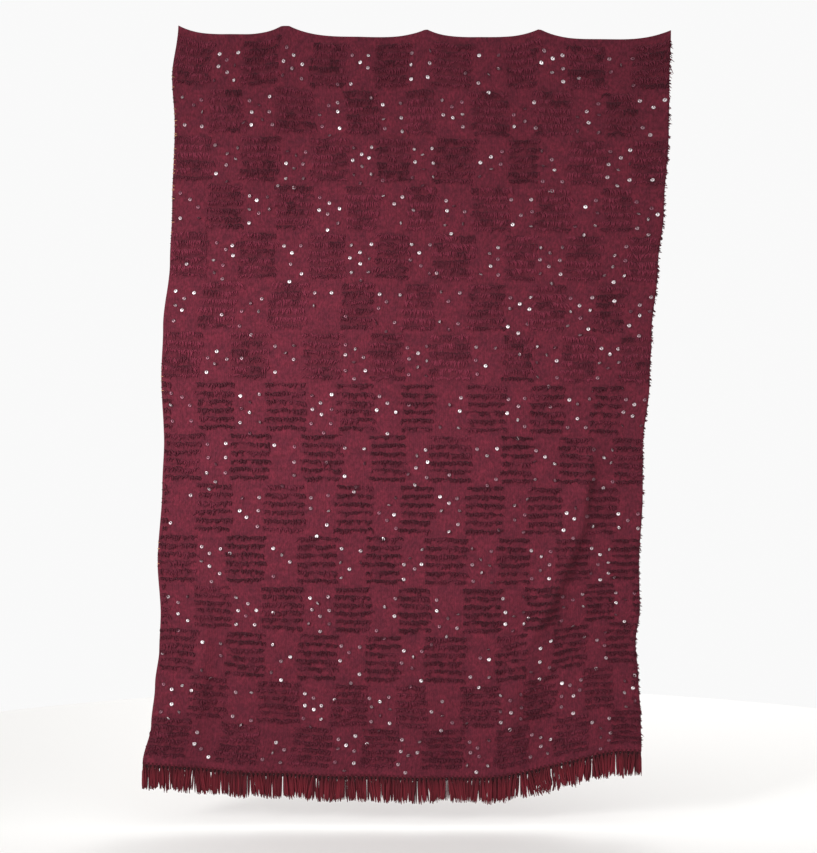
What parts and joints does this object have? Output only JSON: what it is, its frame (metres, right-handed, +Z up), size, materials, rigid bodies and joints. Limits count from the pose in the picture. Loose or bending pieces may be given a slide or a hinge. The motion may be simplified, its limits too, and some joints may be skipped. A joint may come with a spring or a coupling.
{
  "type": "hung handira wedding blanket",
  "caption": "Hand-woven wool blanket hung by its top edge, with squares of short shag set like a draughtboard and a fringe below its hem.",
  "frame": {"origin": "the point on the blanket's top edge that it hangs from nearest its middle, halfway through the cloth", "axes": "+Z up the hung cloth, +X to the right across it as seen from the front, and +Y from its front to its back"},
  "size_m": [1.3942, 0.0416, 2.0485],
  "materials": {
    "woven_wool": "hand-woven wool dyed wine red, with shag squares a shade darker",
    "fringe_wool": "twisted wool warp ends dyed wine red"
  },
  "bodies": {
    "root": {"ground_cloth": "woven_wool", "fringe": "fringe_wool"}
  },
  "joints": []
}
